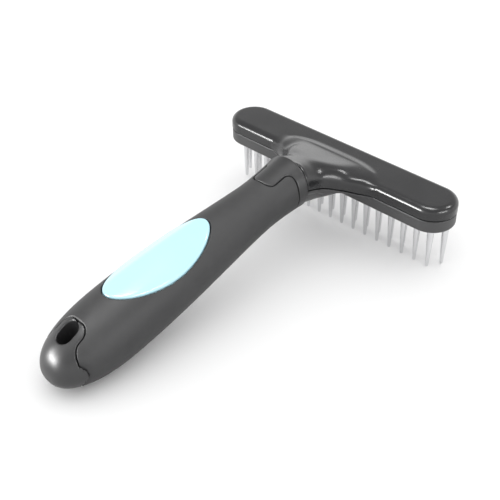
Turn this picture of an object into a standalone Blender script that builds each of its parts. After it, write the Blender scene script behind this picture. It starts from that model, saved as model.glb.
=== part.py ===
"""Double-row undercoat rake: a T-shaped head with two rows of turning steel pins on a rubber-covered handle.

The head bar lies along X, the handle runs from its rounded end at -Y up to the head at +Y, and the pins
point down. The part stands on z = 0 on its pin tips and on the underside of the handle.
All driving dimensions are in millimetres.
"""

import math

import bmesh
import bpy
from mathutils import Matrix, Vector

MM = 0.001
GAP = 0.3  # clearance between neighbouring pieces

# ---- overall -------------------------------------------------------------------------------
HEAD_LENGTH = 110.0
HEAD_DEPTH = 18.8
HEAD_CENTRE_Y = 66.4
HANDLE_END_Y = -75.8
HEAD_TOP = 29.7
PARTING = 24.4  # underside of the upper shell at its edge; the lower shell ends a gap below it
HEAD_BOTTOM = 19.0

# ---- head shells ---------------------------------------------------------------------------
TOP_FILLET = 2.3
BOTTOM_FILLET = 0.9
LOWER_INSET = 0.4  # the lower shell stands back from the upper one
GROOVE_INSET = 1.2  # shadow groove round the upper shell's lower edge
GROOVE_TOP = 25.2
WELL_INSET = 1.2  # inside of the lower shell's wall
LIP_INSET = 1.5  # locating lip of the upper shell, inside the lower one's wall
LIP_WALL = 0.8
LIP_BOTTOM = 22.9
ROOF = 27.5  # top of the hollows between the upper shell's ribs
HOLLOWS = ((-44.0, -30.5), (-28.5, -15.0), (15.0, 28.5), (30.5, 44.0))
HOLLOW_HALF_DEPTH = 5.6
FLOOR_TOP = 21.2  # inside face of the lower shell's floor

# ---- pins ----------------------------------------------------------------------------------
PIN_PITCH = 6.0
FRONT_PINS = 17
BACK_PINS = 18
ROW_OFFSET = 2.6
PIN_ROOT_RADIUS = 1.45
PIN_SHANK_RADIUS = 1.4
PIN_TIP_RADIUS = 0.7
PIN_FLANGE_RADIUS = 1.95
PIN_FLANGE_BOTTOM = 21.5
PIN_FLANGE_TOP = 22.6
PIN_HOLE_RADIUS = 1.66
PIN_SIDES = 10

# ---- retainer plate ------------------------------------------------------------------------
PLATE_BOTTOM = 22.9
PLATE_TOP = 24.1
PLATE_GAP = 0.3

# ---- handle --------------------------------------------------------------------------------
COLLAR_Y = 37.4  # front face of the collar ring
COLLAR_RADIUS = 10.4
WAIST_Y = 20.4
WAIST_RADIUS = 9.4
BULB_Y = -44.6
BULB_RADIUS = 13.1
END_ROUNDNESS = 2.7
END_LIFT = 0.33  # share by which the underside rises towards the rounded end
AXIS_Z = 29.2  # height of the handle's axis at AXIS_Y
AXIS_Y = 35.0
AXIS_SLOPE = 0.165
AXIS_BEND = 0.00024
SKIN = 2.5  # thickness of the rubber
RING_SIDES = 28

# ---- collar tongue and end tongue, in plan ---------------------------------------------------
COLLAR_REAR_Y = 33.2
TONGUE_TIP_Y = 22.6
TONGUE_HALF_WIDTH = 4.7
TONGUE_RADIUS = 3.0
CAP_EDGE_Y = -68.8
CAP_SIDE_Y = -64.0
CAP_TONGUE_Y = -61.2
CAP_TONGUE_HALF_WIDTH = 5.6
CAP_TONGUE_RADIUS = 3.2

# ---- hang hole -----------------------------------------------------------------------------
HANG_HOLE_Y = -65.6
HANG_HOLE_WIDTH = 6.0
HANG_HOLE_LENGTH = 7.8

# ---- inlay ---------------------------------------------------------------------------------
INLAY_Y = -27.2
INLAY_HALF_LENGTH = 22.6
INLAY_HALF_WIDTH = 9.8
INLAY_PROUD = 0.25

# ---- neck ----------------------------------------------------------------------------------
NECK_REAR_RADIUS = 10.1
NECK_FLARE_HALF_WIDTH = 25.0
NECK_TOP_Z = 39.6  # top of the neck at the collar
HUMP_HALF_WIDTH = 22.0  # where the hump runs out into the head's flat top
HUMP_CREST_Y = 63.6  # the hump falls away in front of this line
HUMP_CREST_Z = 31.5
HUMP_FOOT_Y = 68.4  # front of the hump, where it meets the head's top
HUMP_CORNER_Y = 61.5  # its outline rounds off in plan from here
FACET_HIGH_Z = 38.9  # height of the neck's sloping flat at the collar
FACET_LOW_Y = 63.2
FACET_LOW_Z = 30.7  # and where it ends on the hump

# ---- tang and its pin ------------------------------------------------------------------------
TANG_HALF_WIDTH = 5.0
TANG_HALF_HEIGHT = 3.6
TANG_END_Y = 1.6
CROSS_PIN_Y = 11.6
CROSS_PIN_RADIUS = 1.25
CROSS_PIN_HALF_LENGTH = 6.4


def clear_scene():
    for obj in list(bpy.data.objects):
        bpy.data.objects.remove(obj, do_unlink=True)


def material(name, colour, roughness, metallic=0.0):
    mat = bpy.data.materials.new(name)
    mat.use_nodes = True
    shader = mat.node_tree.nodes["Principled BSDF"]
    shader.inputs["Base Color"].default_value = (*colour, 1.0)
    shader.inputs["Roughness"].default_value = roughness
    shader.inputs["Metallic"].default_value = metallic
    return mat


def new_object(name, bm, mat=None, smooth=35.0):
    """Makes an object of a bmesh in millimetres, facing outwards."""
    bmesh.ops.recalc_face_normals(bm, faces=bm.faces)
    bm.transform(Matrix.Scale(MM, 4))
    mesh = bpy.data.meshes.new(name)
    bm.to_mesh(mesh)
    bm.free()
    if mat:
        mesh.materials.append(mat)
    obj = bpy.data.objects.new(name, mesh)
    bpy.context.scene.collection.objects.link(obj)
    if smooth:
        mesh.shade_smooth()
        mesh.set_sharp_from_angle(angle=math.radians(smooth))
    return obj


def helper(obj):
    """Marks an object as a cutter or a building block, which isn't a piece."""
    obj.hide_render = True
    obj.display_type = "WIRE"
    return obj


def boolean(obj, other, operation="DIFFERENCE"):
    modifier = obj.modifiers.new(f"{operation.lower()} {other.name}", "BOOLEAN")
    modifier.operation = operation
    modifier.solver = "EXACT"
    modifier.object = helper(other)
    return obj


def loft(loops):
    """A closed solid through loops with equally many points, capped at both ends."""
    bm = bmesh.new()
    rings = [[bm.verts.new(point) for point in loop] for loop in loops]
    for low, high in zip(rings, rings[1:]):
        count = len(low)
        for k in range(count):
            after = (k + 1) % count
            bm.faces.new((low[k], low[after], high[after], high[k]))
    bm.faces.new(rings[0])
    bm.faces.new(rings[-1])
    return bm


def prism(outline, bottom, top):
    return loft([[(x, y, z) for x, y in outline] for z in (bottom, top)])


def arc(centre_x, centre_y, radius, start, end, steps):
    """Points on an arc, with angles in degrees."""
    points = []
    for k in range(steps + 1):
        angle = math.radians(start + (end - start) * k / steps)
        points.append((centre_x + radius * math.cos(angle), centre_y + radius * math.sin(angle)))
    return points


def stadium(inset, steps=9):
    """Plan outline of the head bar, drawn in by inset."""
    radius = HEAD_DEPTH / 2 - inset
    centre = HEAD_LENGTH / 2 - HEAD_DEPTH / 2
    right = arc(centre, HEAD_CENTRE_Y, radius, -90, 90, steps)
    left = arc(-centre, HEAD_CENTRE_Y, radius, 90, 270, steps)
    return right + left


def stadium_stack(levels):
    """A solid through the bar's outline at (height, inset) levels."""
    return loft([[(x, y, z) for x, y in stadium(inset)] for z, inset in levels])


def ellipse(centre_y, half_width, half_length, steps=36):
    points = []
    for k in range(steps):
        angle = 2 * math.pi * k / steps
        points.append((half_width * math.cos(angle), centre_y + half_length * math.sin(angle)))
    return points


# ---- handle shape ----------------------------------------------------------------------------


def axis_z(y):
    """Height of the handle's axis, which falls away from the head and bends down to the end."""
    run = AXIS_Y - y
    return AXIS_Z - AXIS_SLOPE * run - AXIS_BEND * run * run


def end_share(y):
    """How far a station lies between the bulb, 0, and the end, 1."""
    return min(1.0, max(0.0, (BULB_Y - y) / (BULB_Y - HANDLE_END_Y)))


def handle_radius(y):
    if y > WAIST_Y:
        share = (COLLAR_Y - y) / (COLLAR_Y - WAIST_Y)
        return WAIST_RADIUS + (COLLAR_RADIUS - WAIST_RADIUS) * (1 - share) ** 2
    if y > BULB_Y:
        share = (WAIST_Y - y) / (WAIST_Y - BULB_Y)
        return WAIST_RADIUS + (BULB_RADIUS - WAIST_RADIUS) * math.sin(share * math.pi / 2) ** 1.3
    return BULB_RADIUS * (1 - end_share(y) ** END_ROUNDNESS) ** (1 / END_ROUNDNESS)


def handle_loop(y, inset):
    radius = max(handle_radius(y) - inset, 0.4)
    loop = []
    for k in range(RING_SIDES):
        angle = 2 * math.pi * k / RING_SIDES
        rise = math.sin(angle)
        height = radius if rise > 0 else radius * (1 - END_LIFT * end_share(y) ** 2)
        loop.append((radius * math.cos(angle), y, axis_z(y) + height * rise))
    return loop


def handle_stations(front, rear, inset, count=17):
    """Stations along the handle, closer together where its end rounds off."""
    last = max(rear, HANDLE_END_Y + inset + 0.05)
    stations = []
    for k in range(count + 1):
        share = math.sin(k / count * math.pi / 2)
        stations.append(front + (last - front) * share)
    return stations


def handle_solid(name, inset, front=COLLAR_Y, rear=HANDLE_END_Y, mat=None):
    stations = handle_stations(front, rear, 0.0 if inset < 0 else inset)
    return new_object(name, loft([handle_loop(y, inset) for y in stations]), mat)


def mirrored(points):
    """A right half outline, from the middle outwards, completed with its mirror image."""
    return [(-x, y) for x, y in reversed(points)] + points


def collar_outline(grow):
    """Plan area of the collar ring and its tongue: everything in front of this line."""
    half = TONGUE_HALF_WIDTH + grow
    radius = TONGUE_RADIUS + grow
    tip = TONGUE_TIP_Y - grow
    rear = COLLAR_REAR_Y - grow
    inner = TONGUE_RADIUS - grow
    half_line = [(0.0, tip)]
    half_line += arc(half - radius, tip + radius, radius, -90, 0, 6)
    half_line += arc(half + inner, rear - inner, inner, 180, 90, 6)
    half_line += [(30.0, rear), (30.0, 90.0)]
    return mirrored(half_line)


def cap_outline(grow):
    """Plan area of the handle's hard end and its tongue: everything behind this line."""
    half = CAP_TONGUE_HALF_WIDTH + grow
    radius = CAP_TONGUE_RADIUS + grow
    tip = CAP_TONGUE_Y + grow
    edge = CAP_EDGE_Y + grow
    side = CAP_SIDE_Y + grow
    inner = CAP_TONGUE_RADIUS - grow
    half_line = [(0.0, tip)]
    half_line += arc(half - radius, tip - radius, radius, 90, 0, 6)
    half_line += arc(half + inner, edge + inner, inner, 180, 270, 6)
    half_line += [(half + inner + 4.0, side), (30.0, side), (30.0, -110.0)]
    return mirrored(half_line)


def area_solid(name, outline, bottom=-20.0, top=60.0):
    return helper(new_object(name, prism(outline, bottom, top), smooth=None))


def hang_hole_cutter():
    radius = HANG_HOLE_WIDTH / 2
    reach = HANG_HOLE_LENGTH / 2 - radius
    outline = arc(0, HANG_HOLE_Y + reach, radius, 0, 180, 10)
    outline += arc(0, HANG_HOLE_Y - reach, radius, 180, 360, 10)
    return area_solid("cut_hang_hole", outline)


# ---- tang ------------------------------------------------------------------------------------


def tang_solid(name, grow, front, rear):
    """The flat bar that carries the head inside the handle, along the handle's axis."""
    half_x = TANG_HALF_WIDTH + grow
    half_z = TANG_HALF_HEIGHT + grow
    loops = []
    for y in (front, rear):
        low = axis_z(y) - half_z
        high = axis_z(y) + half_z
        loops.append([(-half_x, y, low), (half_x, y, low), (half_x, y, high), (-half_x, y, high)])
    return new_object(name, loft(loops), smooth=None)


def cross_pin(name, radius, half_length, mat=None):
    loops = []
    for x in (-half_length, half_length):
        loop = []
        for k in range(16):
            angle = 2 * math.pi * k / 16
            loop.append((x, CROSS_PIN_Y + radius * math.cos(angle), axis_z(CROSS_PIN_Y) + radius * math.sin(angle)))
        loops.append(loop)
    return new_object(name, loft(loops), mat)


# ---- neck ------------------------------------------------------------------------------------


def smooth_step(value, low, high):
    share = min(1.0, max(0.0, (value - low) / (high - low)))
    return share * share * (3 - 2 * share)


def neck_top(y, start):
    """Height of the neck's ridge: a straight fall to the hump's crest, then down to the head's top."""
    if y < HUMP_CREST_Y:
        return NECK_TOP_Z + (HUMP_CREST_Z - NECK_TOP_Z) * (y - start) / (HUMP_CREST_Y - start)
    foot = HEAD_TOP - 0.15
    return HUMP_CREST_Z + (foot - HUMP_CREST_Z) * smooth_step(y, HUMP_CREST_Y, HUMP_FOOT_Y)


def neck_solid(name, shrink, steps=11):
    """The flared neck, from the collar to the foot of the hump on the head bar."""
    loops = []
    start = COLLAR_Y + GAP
    head_edge = HEAD_CENTRE_Y - HEAD_DEPTH / 2
    stations = [start + (head_edge - start) * k / steps for k in range(steps + 1)]
    stations += [60.2, HUMP_CREST_Y, 65.4, 67.0, HUMP_FOOT_Y]
    for y in stations:
        into_head = min(1.0, (y - start) / (head_edge - start))
        half_x = NECK_REAR_RADIUS + (NECK_FLARE_HALF_WIDTH - NECK_REAR_RADIUS) * into_head**3.2
        bottom = axis_z(COLLAR_Y) - NECK_REAR_RADIUS
        bottom += (HEAD_BOTTOM + LOWER_INSET - bottom) * smooth_step(into_head, 0.0, 0.9)
        middle = axis_z(COLLAR_Y) + (PARTING - axis_z(COLLAR_Y)) * into_head
        loops.append(neck_loop(y, half_x - shrink, middle, neck_top(y, start), bottom + shrink, into_head))
    return new_object(name, loft(loops))


def hump_width(y):
    """Half width of the hump, rounded off towards its foot."""
    share = max(0.0, (y - HUMP_CORNER_Y) / (HUMP_FOOT_Y + 0.6 - HUMP_CORNER_Y))
    return HUMP_HALF_WIDTH * math.sqrt(1 - share * share)


def neck_loop(y, half_x, middle, top, bottom, into_head):
    """A section that turns from the collar's circle to the head's flat top with the hump on it."""
    blend = smooth_step(into_head, 0.2, 1.0)
    power = 2 + 1.8 * blend
    loop = []
    for k in range(RING_SIDES):
        angle = 2 * math.pi * k / RING_SIDES
        across = abs(math.cos(angle)) ** (2 / power)
        up = abs(math.sin(angle)) ** (2 / power)
        x = math.copysign(half_x * across, math.cos(angle))
        if math.sin(angle) < 0:
            loop.append((x, y, middle - up * (middle - bottom)))
            continue
        shoulder = HEAD_TOP - 0.25 - middle
        bell = 1 - min(1.0, abs(x) / hump_width(y)) ** 2.5
        hump = up**0.6 * shoulder + bell * (top - middle - shoulder)
        loop.append((x, y, middle + (1 - blend) * up * (top - middle) + blend * hump))
    return loop


def parting_profile(offset):
    """Line of the seam in side view, from behind the collar to in front of the head."""
    neck_start = HEAD_CENTRE_Y - HEAD_DEPTH / 2
    return [
        (COLLAR_Y - 30, axis_z(COLLAR_Y) + offset),
        (COLLAR_Y, axis_z(COLLAR_Y) + offset),
        (neck_start - 2, PARTING + offset),
        (neck_start + 60, PARTING + offset),
    ]


def seam_block(name, offset, limit):
    """Everything above or below the seam between the head shells."""
    line = parting_profile(offset)
    outline = line + [(line[-1][0], limit), (line[0][0], limit)]
    return helper(new_object(name, loft([[(x, y, z) for y, z in outline] for x in (-80, 80)]), smooth=None))


def facet_block(name):
    """What the neck's sloping flat takes off."""
    slope = (FACET_LOW_Z - FACET_HIGH_Z) / (FACET_LOW_Y - COLLAR_Y)
    rear = COLLAR_Y - 5
    outline = [(rear, FACET_HIGH_Z - 5 * slope), (FACET_LOW_Y, FACET_LOW_Z), (75, FACET_LOW_Z), (75, 70), (rear, 70)]
    return helper(new_object(name, loft([[(x, y, z) for y, z in outline] for x in (-60, 60)]), smooth=None))


# ---- head ------------------------------------------------------------------------------------


def upper_levels():
    levels = [(LIP_BOTTOM, LIP_INSET), (PARTING, LIP_INSET), (PARTING, GROOVE_INSET)]
    levels += [(GROOVE_TOP, GROOVE_INSET), (GROOVE_TOP, 0.0)]
    for k in range(5):
        angle = math.radians(90 * k / 4)
        levels.append((HEAD_TOP - TOP_FILLET * (1 - math.sin(angle)), TOP_FILLET * (1 - math.cos(angle))))
    return levels


def box_into(bm, x0, x1, y0, y1, z0, z1):
    low = [bm.verts.new((x, y, z0)) for x, y in ((x0, y0), (x1, y0), (x1, y1), (x0, y1))]
    high = [bm.verts.new((v.co.x, v.co.y, z1)) for v in low]
    for k in range(4):
        after = (k + 1) % 4
        bm.faces.new((low[k], low[after], high[after], high[k]))
    bm.faces.new(low)
    bm.faces.new(high)


def hollow_cutters():
    """The hollows between the ribs under the upper shell's roof."""
    bm = bmesh.new()
    for x0, x1 in HOLLOWS:
        near = HEAD_CENTRE_Y - HOLLOW_HALF_DEPTH
        far = HEAD_CENTRE_Y + HOLLOW_HALF_DEPTH
        box_into(bm, x0, x1, near, far, PARTING - 0.5, ROOF)
    return new_object("cut_upper_hollows", bm, smooth=None)


def head_upper_shell(mat):
    shell = new_object("head_upper_shell", stadium_stack(upper_levels()), mat)
    neck = neck_solid("block_neck_upper", 0.0)
    boolean(neck, facet_block("cut_neck_flat"))
    boolean(neck, seam_block("cut_below_seam", 0.0, -40))
    boolean(shell, neck, "UNION")
    inset = LIP_INSET + LIP_WALL
    boolean(shell, new_object("cut_upper_recess", stadium_stack([(LIP_BOTTOM - 2, inset), (PARTING, inset)])))
    boolean(shell, hollow_cutters())
    boolean(shell, tang_solid("block_tang", 0.0, COLLAR_Y + 8, TANG_END_Y), "UNION")
    boolean(shell, cross_pin("cut_tang_pin_hole", CROSS_PIN_RADIUS + 0.2, 20))
    return shell


def lower_levels():
    levels = []
    for k in range(4):
        angle = math.radians(90 * k / 3)
        inset = LOWER_INSET + BOTTOM_FILLET * (1 - math.sin(angle))
        levels.append((HEAD_BOTTOM + BOTTOM_FILLET * (1 - math.cos(angle)), inset))
    levels.append((PARTING - GAP, LOWER_INSET))
    return levels


def pin_places():
    """Name and plan position of every pin, both rows from -X to +X."""
    places = []
    for row, count, y in (
        ("front", FRONT_PINS, HEAD_CENTRE_Y - ROW_OFFSET),
        ("back", BACK_PINS, HEAD_CENTRE_Y + ROW_OFFSET),
    ):
        for k in range(count):
            places.append((f"pin_{row}_{k + 1:02d}", (k - (count - 1) / 2) * PIN_PITCH, y))
    return places


def pin_hole_cutters():
    """All the pin holes of the lower shell's floor as one cutter."""
    bm = bmesh.new()
    for _, x, y in pin_places():
        ring = arc(x, y, PIN_HOLE_RADIUS, 0, 360, PIN_SIDES)[:-1]
        low = [bm.verts.new((px, py, HEAD_BOTTOM - 3)) for px, py in ring]
        high = [bm.verts.new((px, py, FLOOR_TOP + 1)) for px, py in ring]
        for k in range(PIN_SIDES):
            after = (k + 1) % PIN_SIDES
            bm.faces.new((low[k], low[after], high[after], high[k]))
        bm.faces.new(low)
        bm.faces.new(high)
    return new_object("cut_pin_holes", bm)


def head_lower_shell(mat):
    shell = new_object("head_lower_shell", stadium_stack(lower_levels()), mat)
    neck = neck_solid("block_neck_lower", 0.3)
    boolean(neck, seam_block("cut_above_seam", -GAP, 90))
    boolean(shell, neck, "UNION")
    well = stadium_stack([(FLOOR_TOP, WELL_INSET), (PARTING + 3, WELL_INSET)])
    boolean(shell, new_object("cut_lower_well", well))
    boolean(shell, tang_solid("cut_tang_clearance", GAP, COLLAR_Y + 8 + GAP, TANG_END_Y))
    boolean(shell, pin_hole_cutters())
    return shell


def pin_mesh(mat):
    """One tapered pin about its own axis, standing on its tip at z = 0."""
    profile = [(PIN_TIP_RADIUS * 0.45, 0.0), (PIN_TIP_RADIUS, 0.5)]
    profile.append((PIN_ROOT_RADIUS, HEAD_BOTTOM - 0.6))
    profile.append((PIN_SHANK_RADIUS, HEAD_BOTTOM - 0.3))
    profile.append((PIN_SHANK_RADIUS, PIN_FLANGE_BOTTOM))
    profile.append((PIN_FLANGE_RADIUS, PIN_FLANGE_BOTTOM))
    profile.append((PIN_FLANGE_RADIUS, PIN_FLANGE_TOP))
    loops = []
    for radius, z in profile:
        loops.append([(x, y, z) for x, y in arc(0, 0, radius, 0, 360, PIN_SIDES)[:-1]])
    template = new_object("pin_template", loft(loops), mat, smooth=50)
    mesh = template.data
    bpy.data.objects.remove(template, do_unlink=True)
    mesh.name = "pin"
    return mesh


def pins(mat):
    mesh = pin_mesh(mat)
    for name, x, y in pin_places():
        obj = bpy.data.objects.new(name, mesh)
        obj.location = Vector((x, y, 0)) * MM
        bpy.context.scene.collection.objects.link(obj)


def pin_retainer_plate(mat):
    inset = LIP_INSET + LIP_WALL + PLATE_GAP
    return new_object("pin_retainer_plate", stadium_stack([(PLATE_BOTTOM, inset), (PLATE_TOP, inset)]), mat)


# ---- handle pieces ---------------------------------------------------------------------------


def handle_core(mat):
    core = handle_solid("handle_core", SKIN, mat=mat)
    collar = handle_solid("block_collar", 0.0, rear=TONGUE_TIP_Y - 4)
    boolean(collar, area_solid("keep_collar", collar_outline(-0.1)), "INTERSECT")
    cap = handle_solid("block_cap", 0.0, front=CAP_TONGUE_Y + 6)
    boolean(cap, area_solid("keep_cap", cap_outline(-0.1)), "INTERSECT")
    boolean(core, collar, "UNION")
    boolean(core, cap, "UNION")
    boolean(core, tang_solid("cut_tang_socket", GAP, COLLAR_Y + 5, TANG_END_Y - 1))
    boolean(core, cross_pin("cut_core_pin_hole", CROSS_PIN_RADIUS + 0.2, 20))
    boolean(core, hang_hole_cutter())
    return core


def grip_rubber(mat):
    grip = handle_solid("grip_rubber", 0.0, front=COLLAR_REAR_Y + 2, rear=HANDLE_END_Y + 5, mat=mat)
    boolean(grip, handle_solid("cut_grip_bore", SKIN - GAP))
    boolean(grip, area_solid("cut_grip_collar", collar_outline(0.2)))
    boolean(grip, area_solid("cut_grip_cap", cap_outline(0.2)))
    pocket = ellipse(INLAY_Y, INLAY_HALF_WIDTH + GAP, INLAY_HALF_LENGTH + GAP)
    boolean(grip, area_solid("cut_inlay_pocket", pocket, bottom=axis_z(INLAY_Y)))
    return grip


def grip_inlay(mat):
    inlay = handle_solid("grip_inlay", -INLAY_PROUD, front=COLLAR_REAR_Y + 2, rear=HANDLE_END_Y + 5, mat=mat)
    outline = ellipse(INLAY_Y, INLAY_HALF_WIDTH, INLAY_HALF_LENGTH)
    boolean(inlay, area_solid("keep_inlay", outline, bottom=axis_z(INLAY_Y)), "INTERSECT")
    boolean(inlay, handle_solid("cut_inlay_back", SKIN - GAP - 0.01))
    return inlay


def main():
    clear_scene()
    gloss_black = material("gloss_black_plastic", (0.012, 0.012, 0.013), 0.22)
    satin_black = material("satin_black_plastic", (0.020, 0.020, 0.021), 0.42)
    hard_black = material("hard_black_plastic", (0.018, 0.018, 0.019), 0.36)
    rubber = material("grip_rubber_black", (0.030, 0.030, 0.031), 0.62)
    blue = material("inlay_pale_blue", (0.42, 0.78, 0.92), 0.12)
    steel = material("polished_steel", (0.62, 0.62, 0.63), 0.12, 1.0)
    plate_steel = material("plate_steel", (0.45, 0.45, 0.46), 0.35, 1.0)
    head_upper_shell(gloss_black)
    head_lower_shell(satin_black)
    pins(steel)
    pin_retainer_plate(plate_steel)
    handle_core(hard_black)
    grip_rubber(rubber)
    grip_inlay(blue)
    cross_pin("tang_cross_pin", CROSS_PIN_RADIUS, CROSS_PIN_HALF_LENGTH, steel)


main()
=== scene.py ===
"""Looks of the undercoat rake: fine meshes, procedural materials, studio light and camera.

The shells, the core, the grip and the inlay are each described by a distance field in millimetres,
negative inside, and meshed from it. Their rounded edges and the flowing joins between neck, hump and
head bar are thus real geometry. The pins are turned profiles.
"""

import math

import bpy
import numpy as np
from mathutils import Matrix, Vector


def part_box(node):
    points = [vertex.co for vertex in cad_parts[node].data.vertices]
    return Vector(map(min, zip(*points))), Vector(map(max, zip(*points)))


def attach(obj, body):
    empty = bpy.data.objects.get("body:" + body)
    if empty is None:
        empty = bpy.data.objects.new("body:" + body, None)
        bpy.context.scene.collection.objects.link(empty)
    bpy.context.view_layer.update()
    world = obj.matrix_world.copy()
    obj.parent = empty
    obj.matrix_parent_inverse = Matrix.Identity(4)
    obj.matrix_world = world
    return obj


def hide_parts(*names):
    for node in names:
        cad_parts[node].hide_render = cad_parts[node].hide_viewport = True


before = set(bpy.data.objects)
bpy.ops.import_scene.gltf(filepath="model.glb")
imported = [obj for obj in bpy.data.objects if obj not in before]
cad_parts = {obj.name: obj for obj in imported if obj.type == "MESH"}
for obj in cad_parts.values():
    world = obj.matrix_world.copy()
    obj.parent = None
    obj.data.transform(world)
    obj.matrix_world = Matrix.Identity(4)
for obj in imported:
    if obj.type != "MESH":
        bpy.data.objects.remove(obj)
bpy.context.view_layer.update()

MM = 0.001
BODY = "rake"
FINE_CELL = 0.36
CELL = FINE_CELL  # mesh spacing of the shells and the inlay
HANDLE_CELL = CELL * 1.1  # and of the core and the grip
SOFT_ROUNDS = 150  # rounds of smoothing where the neck's surfaces meet
SEAM_EDGE = 0.2  # rounding of edges along a seam
OPEN_EDGE = 0.35  # rounding of edges that show more
CLEAR = 4.0  # how far a surface that ends is drawn in, so that it shows no more

# ---- head bar, as the CAD nodes give it -------------------------------------------------------


def node_box(name):
    """Lowest and highest corner of a CAD node, in millimetres."""
    low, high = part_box(name)
    return np.array(low) / MM, np.array(high) / MM


UPPER_HIGH = node_box("head_upper_shell")[1]
LOWER_LOW, LOWER_HIGH = node_box("head_lower_shell")
CORE_LOW, CORE_HIGH = node_box("handle_core")

HEAD_HALF = 55.0  # half the bar's length
HEAD_RADIUS = 9.4  # of its round ends, which is half its depth too
HEAD_Y = UPPER_HIGH[1] - HEAD_RADIUS  # the bar's middle line
HEAD_TOP = 29.7
HEAD_BOTTOM = LOWER_LOW[2]
PARTING = 24.4  # height of the seam between the two shells
GAP = 0.3  # clearance between pieces
TOP_FILLET = 2.7
BOTTOM_FILLET = 1.0
LOWER_INSET = 0.15  # how far the lower shell stands back from the upper
GROOVE_INSET = 0.9  # depth of the groove along the seam
GROOVE_TOP = 24.55
FLOOR_TOP = 21.2  # inside of the lower shell, under the pins' flanges
WELL_INSET = 1.2  # thickness of its wall
LIP_INSET = 1.5  # the upper shell's lip, which reaches down inside that wall
LIP_WALL = 0.8
LIP_BOTTOM = 22.9
ROOF = 27.5  # top of the two hollows in the upper shell, each with a rib across its middle
HOLLOW_X = 29.5
HOLLOW_HALF = 14.5
HOLLOW_HALF_DEPTH = 5.6
RIB_HALF = 1.0
PIN_HOLE_RADIUS = 1.66

# ---- neck --------------------------------------------------------------------------------------
COLLAR_Y = CORE_HIGH[1]
NECK_START = COLLAR_Y + GAP
NECK_RADIUS = 10.1
HEAD_EDGE = HEAD_Y - HEAD_RADIUS
HUMP_HALF_WIDTH = 22.3
HUMP_RISE = 1.1  # above the bar's flat top
HUMP_FOOT_Y = 68.4
HUMP_BOW = 4.0  # how much nearer the hump's foot is at its ends than in the middle
HUMP_RAMP = 4.8  # length of the slope down to the foot
NECK_RISE = 3.0  # how much the skirt climbs from the bar to the collar
NECK_SHELF = 24.2  # underside of the skirt
SHELF_LIFT = 4.0  # how much that climbs towards the collar
SHELF_COVER = 0.9  # least thickness of the lower shell under the seam
# Half width of the skirt on either side of the neck, at each y.
SKIRT_Y = (38.0, 42.0, 45.0, 47.0, 49.0, 51.0, 53.0, 55.0, 57.0)
SKIRT_HALF = (10.1, 10.15, 10.6, 11.5, 13.1, 15.0, 17.4, 20.6, 25.0)
# Between these distances from the middle, at each y, the ridge falls to the skirt.
SHOULDER_Y = (42.0, 46.3, 48.7, 53.0, 57.0, 61.0)
SHOULDER_INNER = (1.0, 2.0, 5.5, 8.8, 8.8, 8.8)
SHOULDER_OUTER = (11.5, 12.0, 13.4, 15.8, 15.8, 15.8)
# Half width of the neck's belly, which is below the seam, at each y.
BELLY_Y = (38.0, 42.0, 46.0, 50.0, 54.0, 58.0, 62.0)
BELLY_HALF = (10.1, 10.1, 10.4, 11.6, 13.2, 14.0, 14.0)
BELLY_MIDDLE = 28.0  # height of its widest place, at the head
BELLY_POWER = 3.2  # 2 is round, and more is squarer
SADDLE_END = 46.5  # where the fall from the collar levels out
RIDGE_TOP = 36.5
# The sloping flat on top of the neck runs down from the collar to the hump.
FACET_HIGH_Z = 38.9
FACET_LOW_Y = 63.2
FACET_LOW_Z = 30.7

# ---- handle ------------------------------------------------------------------------------------
COLLAR_RADIUS = 10.4
WAIST_Y = 20.4
WAIST_RADIUS = 9.4
BULB_Y = -44.6
BULB_RADIUS = 13.1
SWELL_POWER = 1.3  # a higher power makes the handle swell later
END_Y = CORE_LOW[1]
END_ROUNDNESS = 2.7  # 2 is round, and more is blunter
END_LIFT = 0.33  # how much of its depth the underside loses at the end
# The handle's axis goes through this place and sinks towards the end, a little more steeply as it goes.
AXIS_Y = 35.0
AXIS_Z = 29.2
AXIS_SLOPE = 0.165
AXIS_BEND = 0.00024
SKIN = 2.5  # thickness of the rubber
COLLAR_REAR_Y = 33.2
TONGUE_TIP_Y = 22.6
TONGUE_HALF = 4.7
TONGUE_RADIUS = 3.0
CAP_EDGE_Y = -68.8
CAP_SIDE_Y = -64.0
CAP_TONGUE_Y = -61.2
CAP_TONGUE_HALF = 5.6
CAP_TONGUE_RADIUS = 3.2
HOLE_Y = -65.6
HOLE_HALF_WIDTH = 3.0
HOLE_HALF_LENGTH = 3.9
INLAY_Y = -27.2
INLAY_HALF_WIDTH = 9.8
INLAY_HALF_LENGTH = 22.6
INLAY_PROUD = 0.25  # above the rubber round it
TANG_HALF_WIDTH = 5.0
TANG_HALF_HEIGHT = 3.6
TANG_END_Y = 1.6
CROSS_PIN_Y = 11.6
CROSS_PIN_RADIUS = 1.25

# ---- field tools ---------------------------------------------------------------------------------


def both(a, b, radius):
    """What lies in both fields, with the edge between them rounded."""
    corner = np.hypot(np.maximum(a + radius, 0), np.maximum(b + radius, 0))
    return np.minimum(-radius, np.maximum(a, b)) + corner


def either(a, b, radius):
    """What lies in either field, with a fillet where they meet."""
    corner = np.hypot(np.maximum(radius - a, 0), np.maximum(radius - b, 0))
    return np.maximum(radius, np.minimum(a, b)) - corner


def ease(value, low, high):
    """From 0 at low to 1 at high, level at both ends."""
    share = np.clip((value - low) / (high - low), 0, 1)
    return share * share * (3 - 2 * share)


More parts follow.
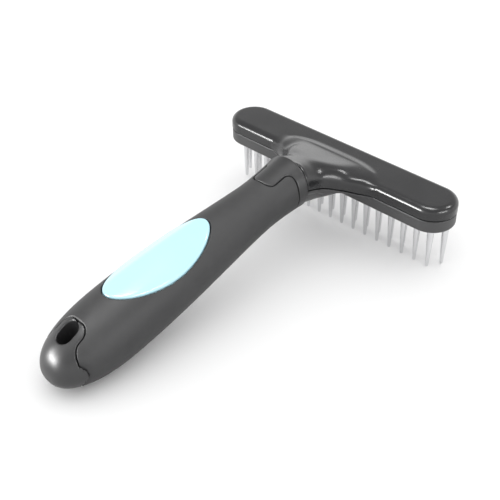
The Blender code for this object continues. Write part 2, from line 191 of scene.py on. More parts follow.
def flow(value, stations, levels):
    """A smooth curve through given levels at the stations, level beyond both ends."""
    stations, levels = np.array(stations, float), np.array(levels, float)
    tangent = np.gradient(levels, stations)
    value = np.clip(value, stations[0], stations[-1])
    i = np.clip(np.searchsorted(stations, value, side="right") - 1, 0, len(stations) - 2)
    width = stations[i + 1] - stations[i]
    t = (value - stations[i]) / width
    near = (1 + 2 * t) * (1 - t) ** 2 * levels[i] + t * (1 - t) ** 2 * width * tangent[i]
    far = t**2 * (3 - 2 * t) * levels[i + 1] - t**2 * (1 - t) * width * tangent[i + 1]
    return near + far


def arc(centre_x, centre_y, radius, start, end, steps=16):
    """Places along a round corner, from one angle to another in degrees."""
    angles = np.radians(np.linspace(start, end, steps + 1))
    return list(zip(centre_x + radius * np.cos(angles), centre_y + radius * np.sin(angles)))


def plan_distance(outline, low, high, step=0.15):
    """Signed distance in plan to a closed outline, negative inside, as a quick function of x and y."""
    xs = np.arange(low[0], high[0] + step, step)
    ys = np.arange(low[1], high[1] + step, step)
    px, py = np.meshgrid(xs, ys, indexing="ij")
    nearest = np.full(px.shape, 1e9)
    inside = np.zeros(px.shape, bool)
    for (ax, ay), (bx, by) in zip(outline, outline[1:] + outline[:1]):
        ex, ey = bx - ax, by - ay
        length = ex * ex + ey * ey
        if length < 1e-12:
            continue
        share = np.clip(((px - ax) * ex + (py - ay) * ey) / length, 0, 1)
        nearest = np.minimum(nearest, np.hypot(px - ax - share * ex, py - ay - share * ey))
        if ay != by:
            crosses = (ay > py) != (by > py)
            inside ^= crosses & (px < ax + (py - ay) / (by - ay) * ex)
    table = np.where(inside, -nearest, nearest)

    def distance(x, y):
        fx = np.clip((x - xs[0]) / step, 0, len(xs) - 1.001)
        fy = np.clip((y - ys[0]) / step, 0, len(ys) - 1.001)
        ix, iy = fx.astype(int), fy.astype(int)
        tx, ty = fx - ix, fy - iy
        near = table[ix, iy] * (1 - tx) + table[ix + 1, iy] * tx
        far = table[ix, iy + 1] * (1 - tx) + table[ix + 1, iy + 1] * tx
        return near * (1 - ty) + far * ty

    return distance


# ---- meshing a field -----------------------------------------------------------------------------


def gradient(field, points, step=0.02):
    """How fast the field grows along x, y and z at each point."""
    parts = []
    for axis in range(3):
        shift = np.zeros(3)
        shift[axis] = step
        ahead = field(*(points + shift).T)
        behind = field(*(points - shift).T)
        parts.append((ahead - behind) / (2 * step))
    return np.stack(parts, axis=1)


def net(field, low, high, cell):
    """Points and four-sided faces of the field's zero level, one point for each grid cell on it."""
    low = np.array(low, float) - 1.5 * cell
    counts = [int(math.ceil((h - l) / cell)) + 3 for l, h in zip(low, high)]
    axes = [l + cell * np.arange(n) for l, n in zip(low, counts)]
    value = field(*np.meshgrid(*axes, indexing="ij"))
    inside = value < 0
    corners = [(i, j, k) for i in (0, 1) for j in (0, 1) for k in (0, 1)]
    total = np.zeros([n - 1 for n in counts], np.int8)
    for i, j, k in corners:
        total += inside[i : counts[0] - 1 + i, j : counts[1] - 1 + j, k : counts[2] - 1 + k]
    active = (total > 0) & (total < 8)
    index = np.full(active.shape, -1)
    index[active] = np.arange(active.sum())
    cells = np.argwhere(active)
    summed = np.zeros((len(cells), 3))
    hits = np.zeros(len(cells))
    for corner in corners:
        for axis in range(3):
            if corner[axis]:
                continue
            near = cells + corner
            far = near.copy()
            far[:, axis] += 1
            a, b = value[tuple(near.T)], value[tuple(far.T)]
            cross = (a < 0) != (b < 0)
            share = a[cross] / (a[cross] - b[cross])
            place = near[cross].astype(float)
            place[:, axis] += share
            summed[cross] += place
            hits[cross] += 1
    points = low + cell * summed / hits[:, None]
    faces = []
    for axis in range(3):
        one, two = (axis + 1) % 3, (axis + 2) % 3
        cut = [slice(1, -1)] * 3
        first, second = list(cut), list(cut)
        first[axis], second[axis] = slice(0, -1), slice(1, None)
        a, b = inside[tuple(first)], inside[tuple(second)]
        where = np.argwhere(a != b)
        leaving = a[tuple(where.T)]
        offset = np.ones(3, int)
        offset[axis] = 0
        where = where + offset
        ring = []
        for back_one, back_two in ((1, 1), (0, 1), (0, 0), (1, 0)):
            at = where.copy()
            at[:, one] -= back_one
            at[:, two] -= back_two
            ring.append(index[tuple(at.T)])
        quads = np.stack(ring, axis=1)
        quads[~leaving] = quads[~leaving][:, ::-1]
        faces.append(quads)
    return points, np.concatenate(faces)


def relax(points, faces, share, rounds):
    """Smooths the joins of a moulded surface where share is above zero."""
    start = faces.ravel()
    end = np.roll(faces, -1, axis=1).ravel()
    count = np.maximum(np.bincount(start, minlength=len(points)), 1)
    for _ in range(rounds):
        for axis in range(3):
            mean = np.bincount(start, points[end, axis], minlength=len(points)) / count
            points[:, axis] += 0.5 * share * (mean - points[:, axis])


def mesh_normals(points, faces):
    """Directions square to the mesh itself, which the relaxed places are shaded by."""
    one, two, three, four = (points[faces[:, corner]] for corner in range(4))
    across = np.cross(three - one, four - two)
    normals = np.zeros_like(points)
    for corner in range(4):
        for axis in range(3):
            normals[:, axis] += np.bincount(faces[:, corner], across[:, axis], minlength=len(points))
    return normals / np.maximum(np.linalg.norm(normals, axis=1, keepdims=True), 1e-12)


def skin(name, field, low, high, cell, mat, cad_nodes, soft=None):
    """A visible piece from its field, settled on the true surface and shaded by it."""
    points, faces = net(field, low, high, cell)
    for _ in range(5):
        slope = gradient(field, points)
        size = np.maximum((slope**2).sum(1), 0.05)
        move = slope * (field(*points.T) / size)[:, None]
        length = np.linalg.norm(move, axis=1, keepdims=True)
        points -= move * np.minimum(1, 0.5 * cell / np.maximum(length, 1e-9))
    slope = gradient(field, points)
    slope /= np.maximum(np.linalg.norm(slope, axis=1, keepdims=True), 1e-9)
    if soft is not None:
        share = soft(*points.T)
        relax(points, faces, share, int(SOFT_ROUNDS * (FINE_CELL / cell) ** 2))
        share = np.minimum(1, 4 * share)[:, None]
        slope = (1 - share) * slope + share * mesh_normals(points, faces)
    mesh = bpy.data.meshes.new(name)
    mesh.vertices.add(len(points))
    mesh.vertices.foreach_set("co", (points * MM).astype(np.float32).ravel())
    mesh.loops.add(faces.size)
    mesh.loops.foreach_set("vertex_index", faces.astype(np.int32).ravel())
    mesh.polygons.add(len(faces))
    mesh.polygons.foreach_set("loop_start", np.arange(0, faces.size, 4, dtype=np.int32))
    mesh.update(calc_edges=True)
    mesh.validate()
    mesh.shade_smooth()
    mesh.materials.append(mat)
    obj = bpy.data.objects.new(name, mesh)
    bpy.context.scene.collection.objects.link(obj)
    if len(mesh.vertices) == len(points):
        mesh.normals_split_custom_set_from_vertices(slope.tolist())
    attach(obj, BODY)
    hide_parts(*cad_nodes)


# ---- head fields ---------------------------------------------------------------------------------


def bar(x, y):
    """Distance in plan to the head bar's outline."""
    reach = HEAD_HALF - HEAD_RADIUS
    return np.hypot(np.maximum(np.abs(x) - reach, 0), y - HEAD_Y) - HEAD_RADIUS


def hump_rise(x, y):
    """How far the hump stands above the head's flat top."""
    across = np.abs(x) / HUMP_HALF_WIDTH
    foot = HUMP_FOOT_Y - HUMP_BOW * np.minimum(across, 1) ** 4
    return HUMP_RISE * ease(foot - y, 0, HUMP_RAMP) * ease(HUMP_HALF_WIDTH - np.abs(x), -0.5, 2.0)


def plate_top(x, y, z):
    """Distance to the top of head and neck.

    It is round at the collar, then a ridge with the skirt on either side, cut by the sloping flat.
    """
    base = HEAD_TOP + hump_rise(x, y) + NECK_RISE * (1 - ease(y, NECK_START - 2, HEAD_EDGE))
    inner, outer = flow(y, SHOULDER_Y, SHOULDER_INNER), flow(y, SHOULDER_Y, SHOULDER_OUTER)
    share = np.clip((np.abs(x) - inner) / (outer - inner), 0, 1)
    fall = np.clip((SADDLE_END - y) / (SADDLE_END - COLLAR_Y), 0, 1)
    axis = axis_z(COLLAR_Y)
    ridge = RIDGE_TOP + (axis + NECK_RADIUS - RIDGE_TOP) * fall**2
    bump = base + (ridge - base) * (1 - share * share * (3 - 2 * share))
    slope_out = (ridge - base) * 6 * share * (1 - share) / (outer - inner)
    rest = np.sqrt(np.maximum(NECK_RADIUS**2 - x * x, 0.5))
    blend = ease(y, NECK_START, SADDLE_END + 0.5)
    level = blend * bump + (1 - blend) * (axis + rest)
    steep = np.hypot(1, blend * slope_out + (1 - blend) * np.minimum(np.abs(x) / rest, 4))
    slope = (FACET_LOW_Z - FACET_HIGH_Z) / (FACET_LOW_Y - COLLAR_Y)
    flat = (z - FACET_HIGH_Z - slope * (y - COLLAR_Y)) / math.hypot(1, slope)
    raised = both((z - level) / steep, flat, 0.5)
    raised = raised + CLEAR * ease(y, FACET_LOW_Y + 1, FACET_LOW_Y + 3)
    plain = z - base + CLEAR * (1 - ease(y, SADDLE_END, SADDLE_END + 3))
    return np.minimum(raised, plain)


def seam_height(y):
    """Underside of the upper shell: it falls from the collar's axis to the head's parting."""
    return np.interp(y, [COLLAR_Y, HEAD_EDGE - 2], [axis_z(COLLAR_Y), PARTING])


def neck_share(y):
    """How far along the neck y is, from 0 at the collar to 1 at the bar."""
    return np.clip((y - NECK_START) / (HEAD_EDGE - NECK_START), 0, 1)


def skirt_plan(x, y):
    """Distance in plan to the flared skirt on either side of the neck."""
    half = flow(y, SKIRT_Y, SKIRT_HALF)
    spread = (flow(y + 0.05, SKIRT_Y, SKIRT_HALF) - half) / 0.05
    side = (np.abs(x) - half) / np.sqrt(1 + (spread * np.minimum(np.abs(x) / half, 1) ** 2) ** 2)
    return np.maximum(side, np.maximum(NECK_START - y, y - HEAD_Y))


def neck_floor(y):
    """Underside of the neck, level with the head's at its far end."""
    start = axis_z(COLLAR_Y) - NECK_RADIUS
    return start + (HEAD_BOTTOM - start) * ease(neck_share(y), 0, 0.9)


def belly(x, y, z):
    """The neck's lower half: round at the collar, broader and squarer towards the head."""
    spread = ease(y, NECK_START - 1, HEAD_EDGE - 4)
    half = flow(y, BELLY_Y, BELLY_HALF)
    axis = axis_z(COLLAR_Y)
    middle = axis + (BELLY_MIDDLE - axis) * spread
    height = middle - neck_floor(y)
    power = 2 + (BELLY_POWER - 2) * spread
    around = ((np.abs(x) / half) ** power + (np.abs(z - middle) / height) ** power) ** (1 / power)
    body = (around - 1) * np.minimum(half, height)
    body = both(body, NECK_START - y, OPEN_EDGE)
    return np.maximum(body, y - HUMP_FOOT_Y + 2)


def tang(x, y, z, grow, front, rear):
    """The bar that joins head and handle, made larger by grow, between two places along y."""
    height = np.abs(z - axis_z(y)) - TANG_HALF_HEIGHT - grow
    box = np.maximum(np.abs(x) - TANG_HALF_WIDTH - grow, height)
    return np.maximum(box, np.maximum(y - front, rear - y))


def cross_bore(y, z):
    """The hole for the pin that goes across the handle and the tang."""
    return np.hypot(y - CROSS_PIN_Y, z - axis_z(CROSS_PIN_Y)) - CROSS_PIN_RADIUS - 0.2


def upper_shell(x, y, z):
    """Bar and neck above the seam, with the lip that goes into the lower shell, and the tang."""
    plan = bar(x, y)
    plate = either(plan, skirt_plan(x, y), 1.5)
    fillet = OPEN_EDGE + (TOP_FILLET - OPEN_EDGE) * ease(y, NECK_START + 2, SADDLE_END + 4)
    crown = both(plate, plate_top(x, y, z), fillet)
    below = seam_height(y) - z
    crown = both(crown, below + GROOVE_TOP - PARTING, SEAM_EDGE)
    rim = np.maximum(plan + GROOVE_INSET, np.maximum(PARTING - z, z - GROOVE_TOP - 1))
    head = np.minimum(crown, rim)
    lip = np.maximum(plan + LIP_INSET, -(plan + LIP_INSET + LIP_WALL))
    head = np.minimum(head, np.maximum(lip, np.maximum(LIP_BOTTOM - z, z - PARTING - 1)))
    from_rib = np.abs(np.abs(x) - HOLLOW_X)
    hollow = np.maximum(from_rib - HOLLOW_HALF, RIB_HALF - from_rib)
    hollow = np.maximum(hollow, np.maximum(np.abs(y - HEAD_Y) - HOLLOW_HALF_DEPTH, z - ROOF))
    head = np.maximum(head, -hollow)
    head = np.minimum(head, tang(x, y, z, 0.0, COLLAR_Y + 8, TANG_END_Y))
    return np.maximum(head, -cross_bore(y, z))


def neck_softness(x, y, z):
    """Where the neck's surfaces flow into one another: above the seam, from the collar to the hump."""
    along = ease(y, NECK_START + 0.8, NECK_START + 2.5) * (1 - ease(y, 61.0, 64.0))
    return along * ease(z - seam_height(y), 0.8, 2.2) * (1 - ease(np.abs(x), 22.5, 27.0))


def pin_places():
    """Body name and plan position of every pin, from its own CAD node."""
    places = []
    for name in sorted(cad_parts):
        if name.startswith("pin_front") or name.startswith("pin_back"):
            low, high = node_box(name)
            places.append((name, (low[0] + high[0]) / 2, (low[1] + high[1]) / 2))
    return places


def lower_shell(x, y, z):
    """Bar and neck below the seam, open at the top, with a hole for each pin."""
    head = both(bar(x, y) + LOWER_INSET, HEAD_BOTTOM - z, BOTTOM_FILLET)
    shelf = NECK_SHELF + SHELF_LIFT * (1 - ease(y, NECK_START + 2, SADDLE_END + 1))
    shelf = np.minimum(shelf, seam_height(y) - GAP - SHELF_COVER)
    skirt = both(skirt_plan(x, y) + LOWER_INSET, shelf - z, 0.4)
    head = either(head, skirt, 0.5)
    head = either(head, belly(x, y, z) + 0.25, 1.0)
    head = both(head, z - seam_height(y) + GAP, SEAM_EDGE)
    head = np.maximum(head, -np.maximum(bar(x, y) + WELL_INSET, FLOOR_TOP - z))
    head = np.maximum(head, -tang(x, y, z, GAP, COLLAR_Y + 8 + GAP, TANG_END_Y))
    holes = np.full(np.shape(x), 1e3)
    for _, px, py in PINS:
        holes = np.minimum(holes, np.hypot(x - px, y - py))
    return both(head, PIN_HOLE_RADIUS - holes, 0.15)


# ---- handle fields -------------------------------------------------------------------------------


def axis_z(y):
    """Height of the handle's axis."""
    run = AXIS_Y - y
    return AXIS_Z - AXIS_SLOPE * run - AXIS_BEND * run * run


def handle(x, y, z, inset=0.0):
    """Distance to the handle's outer surface, drawn in by inset."""
    front = np.clip((COLLAR_Y - y) / (COLLAR_Y - WAIST_Y), -0.2, 1)
    radius = WAIST_RADIUS + (COLLAR_RADIUS - WAIST_RADIUS) * (1 - front) ** 2
    swell = np.clip((WAIST_Y - y) / (WAIST_Y - BULB_Y), 0, 1)
    swell = WAIST_RADIUS + (BULB_RADIUS - WAIST_RADIUS) * np.sin(swell * math.pi / 2) ** SWELL_POWER
    radius = np.where(y > WAIST_Y, radius, swell)
    share = np.maximum(BULB_Y - y, 0) / (BULB_Y - END_Y)
    up = z - axis_z(y)
    up = np.where(up < 0, up / (1 - END_LIFT * np.minimum(share, 1) ** 2), up)
    out = np.hypot(x, up)
    rear = ((out / BULB_RADIUS) ** END_ROUNDNESS + share**END_ROUNDNESS) ** (1 / END_ROUNDNESS)
    return np.where(share > 0, (rear - 1) * BULB_RADIUS, out - radius) + inset


def mirrored(points):
    """An outline from its right half."""
    return [(-x, y) for x, y in reversed(points)] + points


def collar_outline():
    """Plan area of the collar ring and its tongue."""
    tip, rear, turn = TONGUE_TIP_Y, COLLAR_REAR_Y, TONGUE_RADIUS
    line = [(0.0, tip)]
    line += arc(TONGUE_HALF - turn, tip + turn, turn, -90, 0)
    line += arc(TONGUE_HALF + turn, rear - turn, turn, 180, 90)
    return mirrored(line + [(30.0, rear), (30.0, 90.0)])


def cap_outline():
    """Plan area of the handle's hard end and its tongue."""
    tip, edge, side, turn = CAP_TONGUE_Y, CAP_EDGE_Y, CAP_SIDE_Y, CAP_TONGUE_RADIUS
    line = [(0.0, tip)]
    line += arc(CAP_TONGUE_HALF - turn, tip - turn, turn, 90, 0)
    line += arc(CAP_TONGUE_HALF + turn, edge + turn, turn, 180, 270)
    line += [(CAP_TONGUE_HALF + turn + 4.0, side), (30.0, side), (30.0, -110.0)]
    return mirrored(line)


COLLAR_AREA = plan_distance(collar_outline(), (-16, 15), (16, 42))
CAP_AREA = plan_distance(cap_outline(), (-16, -82), (16, -52))


def collar_area(x, y):
    return np.where(y > 15, COLLAR_AREA(x, y), 20.0)


def cap_area(x, y):
    return np.where(y < -52, CAP_AREA(x, y), 20.0)


def inlay_area(x, y):
    """Distance in plan to the inlay's oval."""
    u, v = x / INLAY_HALF_WIDTH, (y - INLAY_Y) / INLAY_HALF_LENGTH
    k = np.hypot(u, v)
    steep = np.hypot(x / INLAY_HALF_WIDTH**2, (y - INLAY_Y) / INLAY_HALF_LENGTH**2)
    return k * (k - 1) / np.maximum(steep, 1e-6)


def hang_hole(x, y):
    """Distance in plan to the long hole in the handle's end."""
    beyond = np.maximum(np.abs(y - HOLE_Y) - (HOLE_HALF_LENGTH - HOLE_HALF_WIDTH), 0)
    return np.hypot(x, beyond) - HOLE_HALF_WIDTH


def core(x, y, z):
    """Collar ring with its tongue, inner core and hard end, in one piece."""
    outer = handle(x, y, z)
    inner = outer + SKIN
    collar = both(outer, collar_area(x, y) + 0.1, 0.3)
    cap = both(outer, cap_area(x, y) + 0.1, 0.3)
    body = np.minimum(inner, np.minimum(collar, cap))
    body = both(body, y - COLLAR_Y, OPEN_EDGE)
    body = np.maximum(body, -tang(x, y, z, GAP, 60.0, TANG_END_Y - 1))
    body = np.maximum(body, -cross_bore(y, z))
    return both(body, -hang_hole(x, y), 0.5)


def grip(x, y, z):
    """The rubber round the core, cut back round collar, hard end and inlay."""
    outer = handle(x, y, z)
    body = np.maximum(outer, -(outer + SKIN - GAP))
    body = both(body, 0.2 - collar_area(x, y), 0.4)
    body = both(body, 0.2 - cap_area(x, y), 0.4)
    pocket = np.maximum(inlay_area(x, y) - GAP, axis_z(INLAY_Y) - z)
    return both(body, -pocket, OPEN_EDGE)


def inlay(x, y, z):
    """The oval plate in the top of the grip, which stands a little proud of it."""
    outer = handle(x, y, z, -INLAY_PROUD)
    body = both(outer, inlay_area(x, y), 0.6)
    under = -(outer + INLAY_PROUD + SKIN - GAP - 0.01)
    return np.maximum(body, np.maximum(under, axis_z(INLAY_Y) - z))


# ---- materials -----------------------------------------------------------------------------------


class Nodes:
    """A short way to wire one Principled material."""

    def __init__(self, name):
        self.mat = bpy.data.materials.new(name)
        self.mat.use_nodes = True
        self.tree = self.mat.node_tree
        self.shader = self.tree.nodes["Principled BSDF"]
        self.place = self.add("ShaderNodeTexCoord").outputs["Object"]

    def add(self, kind, **settings):
        node = self.tree.nodes.new(kind)
        for key, value in settings.items():
            setattr(node, key, value)
        return node

    def link(self, start, end):
        self.tree.links.new(start, end)

    def noise(self, scale, detail=3.0, stretch=(1, 1, 1), roughness=0.5):
        spread = self.add("ShaderNodeMapping")
        spread.inputs["Scale"].default_value = stretch
        self.link(self.place, spread.inputs["Vector"])
        node = self.add("ShaderNodeTexNoise")
        node.inputs["Scale"].default_value = scale
        node.inputs["Detail"].default_value = detail
        node.inputs["Roughness"].default_value = roughness
        self.link(spread.outputs["Vector"], node.inputs["Vector"])
        return node.outputs["Fac"]

    def remap(self, value, low, high, new_low, new_high):
        node = self.add("ShaderNodeMapRange")
        node.inputs["From Min"].default_value = low
        node.inputs["From Max"].default_value = high
        node.inputs["To Min"].default_value = new_low
        node.inputs["To Max"].default_value = new_high
        self.link(value, node.inputs["Value"])
        return node.outputs["Result"]

    def mix(self, value, low, high):
        node = self.add("ShaderNodeMix", data_type="RGBA")
        node.inputs["A"].default_value = (*low, 1)
        node.inputs["B"].default_value = (*high, 1)
        self.link(value, node.inputs["Factor"])
        return node.outputs["Result"]

    def bump(self, value, strength, distance, under=None):
        node = self.add("ShaderNodeBump")
        node.inputs["Strength"].default_value = strength
        node.inputs["Distance"].default_value = distance
        self.link(value, node.inputs["Height"])
        if under is not None:
            self.link(under, node.inputs["Normal"])
        return node.outputs["Normal"]

    def set(self, **values):
        for key, value in values.items():
            socket = self.shader.inputs[key.replace("_", " ").title().replace("Ior", "IOR")]
            if isinstance(value, bpy.types.NodeSocket):
                self.link(value, socket)
            else:
                socket.default_value = value
        return self.mat


def moulded_black(name, dark, light, rough_low, rough_high, grain):
    """Injection-moulded plastic: faint texture, slight flow marks and handling wear in the gloss."""
    n = Nodes(name)
    wear = n.noise(70.0, 5.0, roughness=0.6)
    fine = n.noise(3800.0, 2.0)
    flow = n.noise(160.0, 3.0, stretch=(0.35, 1, 1))
    normal = n.bump(fine, grain, 0.00003)
    normal = n.bump(flow, 0.12, 0.0001, normal)
    return n.set(
        base_color=n.mix(n.remap(wear, 0.3, 0.7, 0, 1), dark, light),
        roughness=n.remap(wear, 0.3, 0.7, rough_low, rough_high),
        normal=normal,
    )


def rubber():
    """Matte soft-touch rubber: fine speckle, a little dust and scuffing."""
    n = Nodes("grip_rubber_black")
    speckle = n.noise(5200.0, 2.0)
    scuff = n.noise(90.0, 6.0, roughness=0.7)
    normal = n.bump(speckle, 0.35, 0.00005)
    normal = n.bump(n.noise(420.0, 3.0), 0.1, 0.0001, normal)
    dark, light = (0.020, 0.020, 0.021), (0.034, 0.034, 0.035)
    return n.set(
        base_color=n.mix(n.remap(scuff, 0.35, 0.72, 0, 1), dark, light),
        roughness=n.remap(scuff, 0.3, 0.75, 0.50, 0.66),
        normal=normal,
    )


def pale_blue():
    """Glossy pale blue plastic with a soft swirl in its colour and a clear surface."""
    n = Nodes("inlay_pale_blue")
    cloud = n.noise(45.0, 2.0)
    fine = n.noise(900.0, 2.0)
    return n.set(
        base_color=n.mix(cloud, (0.50, 0.83, 0.94), (0.56, 0.87, 0.96)),
        roughness=n.remap(fine, 0.3, 0.7, 0.10, 0.17),
        coat_weight=0.5,
        coat_roughness=0.05,
        normal=n.bump(n.noise(160.0, 2.0), 0.08, 0.0001),
    )


def turned_steel():
    """Polished steel with fine rings from turning and faint lengthwise wear."""
    n = Nodes("polished_steel")
    rings = n.noise(900.0, 3.0, stretch=(0.15, 0.15, 6))
    wear = n.noise(350.0, 4.0, stretch=(1, 1, 0.2))
    return n.set(
        base_color=n.mix(wear, (0.60, 0.60, 0.61), (0.76, 0.76, 0.77)),
        metallic=1.0,
        roughness=n.remap(wear, 0.3, 0.7, 0.14, 0.26),
        normal=n.bump(rings, 0.15, 0.00003),
    )


def rolled_steel():
    """Cold-rolled sheet: matt grey with long rolling marks."""
    n = Nodes("plate_steel")
    marks = n.noise(500.0, 4.0, stretch=(0.1, 1, 1))
    return n.set(
        base_color=n.mix(marks, (0.38, 0.38, 0.39), (0.50, 0.50, 0.51)),
        metallic=1.0,
        roughness=n.remap(marks, 0.3, 0.7, 0.30, 0.42),
        normal=n.bump(marks, 0.1, 0.00005),
    )


def floor_paint():
    """Matt white, slightly uneven."""
    n = Nodes("studio_floor")
    cloud = n.noise(3.0, 3.0)
    return n.set(
        base_color=n.mix(cloud, (0.90, 0.90, 0.90), (0.93, 0.93, 0.93)),
        roughness=0.9,
        specular_ior_level=0.1,
    )


# ---- pins ----------------------------------------------------------------------------------------
PIN_TIP_RADIUS = 0.62
PIN_ROOT_RADIUS = 1.45
PIN_ROOT_Z = 18.2  # top of the taper
PIN_SHANK_RADIUS = 1.4  # where the pin goes through the lower shell
PIN_FLANGE_RADIUS = 1.95
PIN_FLANGE_Z = 21.5
PIN_TOP = 22.6
PIN_CENTRE = 0.02  # radius of the small flat that closes each end
PIN_BEVEL = 0.05


def pin_profile():
    """Radius and height along one pin, from the rounded tip up to its flange."""
    tip, root = PIN_TIP_RADIUS, PIN_ROOT_RADIUS
    shank, flange, bevel = PIN_SHANK_RADIUS, PIN_FLANGE_RADIUS, PIN_BEVEL
    profile = [(PIN_CENTRE, 0.0)]
    for degrees in range(15, 91, 15):
        angle = math.radians(degrees)
        profile.append((tip * math.sin(angle), tip * (1 - math.cos(angle))))
    for share in (0.1, 0.3, 0.5, 0.7, 0.9, 1.0):
        profile.append((tip + (root - tip) * share, tip + (PIN_ROOT_Z - tip) * share))
    profile += [(shank + 0.02, PIN_ROOT_Z + 0.3), (shank, PIN_ROOT_Z + 0.7), (shank, PIN_FLANGE_Z - bevel)]
    profile += [(flange - bevel, PIN_FLANGE_Z), (flange, PIN_FLANGE_Z + 2 * bevel)]
    profile += [(flange, PIN_TOP - 2 * bevel), (flange - bevel, PIN_TOP), (PIN_CENTRE, PIN_TOP)]
    return profile


def pin_mesh(mat, sides=28):
    """One pin, turned round its own axis."""
    rings = []
    faces = []
    for radius, z in pin_profile():
        for k in range(sides):
            angle = 2 * math.pi * k / sides
            rings.append((radius * math.cos(angle) * MM, radius * math.sin(angle) * MM, z * MM))
    rows = len(rings) // sides
    for row in range(rows - 1):
        for k in range(sides):
            after = (k + 1) % sides
            low, high = row * sides, (row + 1) * sides
            faces.append((low + k, low + after, high + after, high + k))
    faces.append(tuple(range(sides))[::-1])
    faces.append(tuple(range((rows - 1) * sides, rows * sides)))
    mesh = bpy.data.meshes.new("fine_pin")
    mesh.from_pydata(rings, [], faces)
    mesh.materials.append(mat)
    mesh.shade_smooth()
    mesh.set_sharp_from_angle(angle=math.radians(50))
    return mesh


PINS = pin_places()


def fit_pins(mat):
    """A pin at each place, riding with its own body."""
    for name, x, y in PINS:
        mesh = pin_mesh(mat)
        mesh.transform(Matrix.Translation((x * MM, y * MM, 0)))
        obj = bpy.data.objects.new("fine_" + name, mesh)
        bpy.context.scene.collection.objects.link(obj)
        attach(obj, name)
        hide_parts(name)


# ---- studio --------------------------------------------------------------------------------------

CAMERA_PLACE = (0.193947, -0.176911, 0.212461)
CAMERA_AZIMUTH = 45.04  # from -Y towards +X
CAMERA_ELEVATION = 36.64
CAMERA_ROLL = 1.08
CAMERA_LENS = 65.314
HORIZON_STRENGTH = 1.6
ZENITH_STRENGTH = 0.72
SKY_STRENGTH = 1.5
LIGHT_AIM = (0, 0, 0.02)
FLOOR_HALF = 4.0
FLOOR_DROP = 0.0002  # keeps the floor just clear of the pins' tips
# Name, azimuth, elevation, distance, width, height and power of each soft panel.
SOFTBOXES = (
    ("edge_light", -27.0, 13.5, 0.7, 0.42, 0.14, 10.0),
    ("right_light", 88.0, 20.0, 0.8, 0.50, 0.12, 2.6),
    ("top_light", 10.0, 84.0, 0.8, 0.46, 0.24, 5.5),
    ("rear_light", 143.0, 44.0, 0.8, 0.12, 0.12, 1.4),
)


def direction(azimuth, elevation):
    """Unit vector from the object: azimuth in degrees from -Y towards +X, elevation above level."""
    az, el = math.radians(azimuth), math.radians(elevation)
    return Vector((math.sin(az) * math.cos(el), -math.cos(az) * math.cos(el), math.sin(el)))


def add_camera():
    az, roll = math.radians(CAMERA_AZIMUTH), math.radians(CAMERA_ROLL)
    back = direction(CAMERA_AZIMUTH, CAMERA_ELEVATION)
    right = Vector((math.cos(az), math.sin(az), 0))
    up = back.cross(right)
    tilted = right * math.cos(roll) - up * math.sin(roll)
    upright = right * math.sin(roll) + up * math.cos(roll)
    camera = bpy.data.cameras.new("camera")
    camera.lens = CAMERA_LENS
    camera.sensor_width = 36.0
    camera.clip_start = 0.01
    obj = bpy.data.objects.new("camera", camera)
    turn = Matrix((tilted, upright, back)).transposed()
    obj.matrix_world = Matrix.Translation(CAMERA_PLACE) @ turn.to_4x4()
    bpy.context.scene.collection.objects.link(obj)
    bpy.context.scene.camera = obj


def add_softbox(name, azimuth, elevation, distance, width, height, power):
    """A soft panel that shows only in reflections, placed by its direction from the object."""
    towards = direction(azimuth, elevation)
    light = bpy.data.lights.new(name, "AREA")
    light.shape = "RECTANGLE"
    light.size, light.size_y = width, height
    light.energy = power
    obj = bpy.data.objects.new(name, light)
    obj.location = Vector(LIGHT_AIM) + towards * distance
    obj.rotation_euler = towards.to_track_quat("Z", "Y").to_euler()
    obj.visible_diffuse = False
    bpy.context.scene.collection.objects.link(obj)


def add_sky(strength):
    """Even light from above for the floor and the matt surfaces, with no reflection of its own."""
    light = bpy.data.lights.new("sky_light", "SUN")
    light.energy = strength
    light.angle = math.radians(120)
    obj = bpy.data.objects.new("sky_light", light)
    obj.location = (0, 0, 1)
    obj.visible_glossy = False
    bpy.context.scene.collection.objects.link(obj)


def add_floor():
    half = FLOOR_HALF
    corners = [(-half, -half, 0), (half, -half, 0), (half, half, 0), (-half, half, 0)]
    mesh = bpy.data.meshes.new("studio_floor")
    mesh.from_pydata(corners, [], [(0, 1, 2, 3)])
    mesh.materials.append(floor_paint())
    obj = bpy.data.objects.new("studio_floor", mesh)
    obj.location = (0, 0, -FLOOR_DROP)
    bpy.context.scene.collection.objects.link(obj)


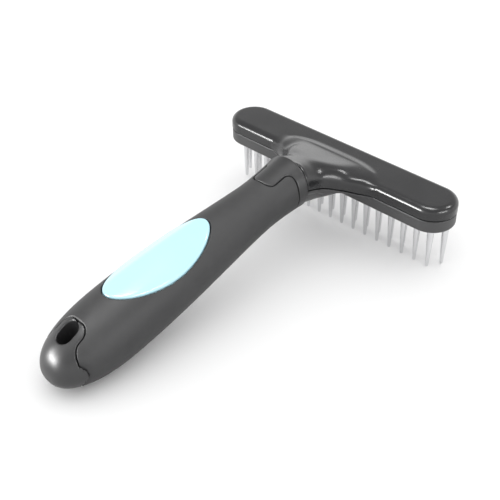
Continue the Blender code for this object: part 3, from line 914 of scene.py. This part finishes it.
def add_world(low_strength, high_strength):
    """Even white surroundings, brighter near the horizon than overhead."""
    world = bpy.data.worlds.new("studio")
    bpy.context.scene.world = world
    world.use_nodes = True
    tree = world.node_tree
    background = tree.nodes["Background"]
    place = tree.nodes.new("ShaderNodeTexCoord")
    parts = tree.nodes.new("ShaderNodeSeparateXYZ")
    ramp = tree.nodes.new("ShaderNodeMapRange")
    ramp.interpolation_type = "SMOOTHSTEP"
    ramp.inputs["From Min"].default_value = 0.05
    ramp.inputs["From Max"].default_value = 0.45
    ramp.inputs["To Min"].default_value = low_strength
    ramp.inputs["To Max"].default_value = high_strength
    tree.links.new(place.outputs["Generated"], parts.inputs["Vector"])
    tree.links.new(parts.outputs["Z"], ramp.inputs["Value"])
    tree.links.new(ramp.outputs["Result"], background.inputs["Strength"])
    background.inputs["Color"].default_value = (1, 1, 1, 1)


# ---- building it all -----------------------------------------------------------------------------


def main():
    dark, light = (0.016, 0.016, 0.017), (0.022, 0.022, 0.023)
    gloss = moulded_black("gloss_black_plastic", dark, light, 0.20, 0.28, 0.10)
    dark, light = (0.040, 0.040, 0.041), (0.052, 0.052, 0.053)
    satin = moulded_black("satin_black_plastic", dark, light, 0.38, 0.50, 0.30)
    dark, light = (0.022, 0.022, 0.023), (0.032, 0.032, 0.033)
    hard = moulded_black("hard_black_plastic", dark, light, 0.32, 0.44, 0.25)
    steel = turned_steel()
    side = HEAD_HALF
    skin("fine_upper_shell", upper_shell, (-side, TANG_END_Y, LIP_BOTTOM - 4), (side, UPPER_HIGH[1], 40),
         CELL, gloss, ["head_upper_shell"], neck_softness)
    skin("fine_lower_shell", lower_shell, (-side, NECK_START, HEAD_BOTTOM), (side, LOWER_HIGH[1], 30.5),
         CELL, satin, ["head_lower_shell"])
    skin("fine_handle_core", core, (-14, END_Y, -1), (14, COLLAR_Y, 41),
         HANDLE_CELL, hard, ["handle_core"])
    skin("fine_grip", grip, (-14, END_Y, -1), (14, COLLAR_REAR_Y, 41),
         HANDLE_CELL, rubber(), ["grip_rubber"])
    skin("fine_inlay", inlay, (-11, -51, 10), (11, -3, 36),
         CELL, pale_blue(), ["grip_inlay"])
    fit_pins(steel)
    for name, mat in (("pin_retainer_plate", rolled_steel()), ("tang_cross_pin", steel)):
        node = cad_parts[name]
        node.data.materials.clear()
        node.data.materials.append(mat)
    add_floor()
    add_world(HORIZON_STRENGTH, ZENITH_STRENGTH)
    add_sky(SKY_STRENGTH)
    for softbox in SOFTBOXES:
        add_softbox(*softbox)
    add_camera()
    bpy.context.scene.view_settings.view_transform = "Standard"


main()
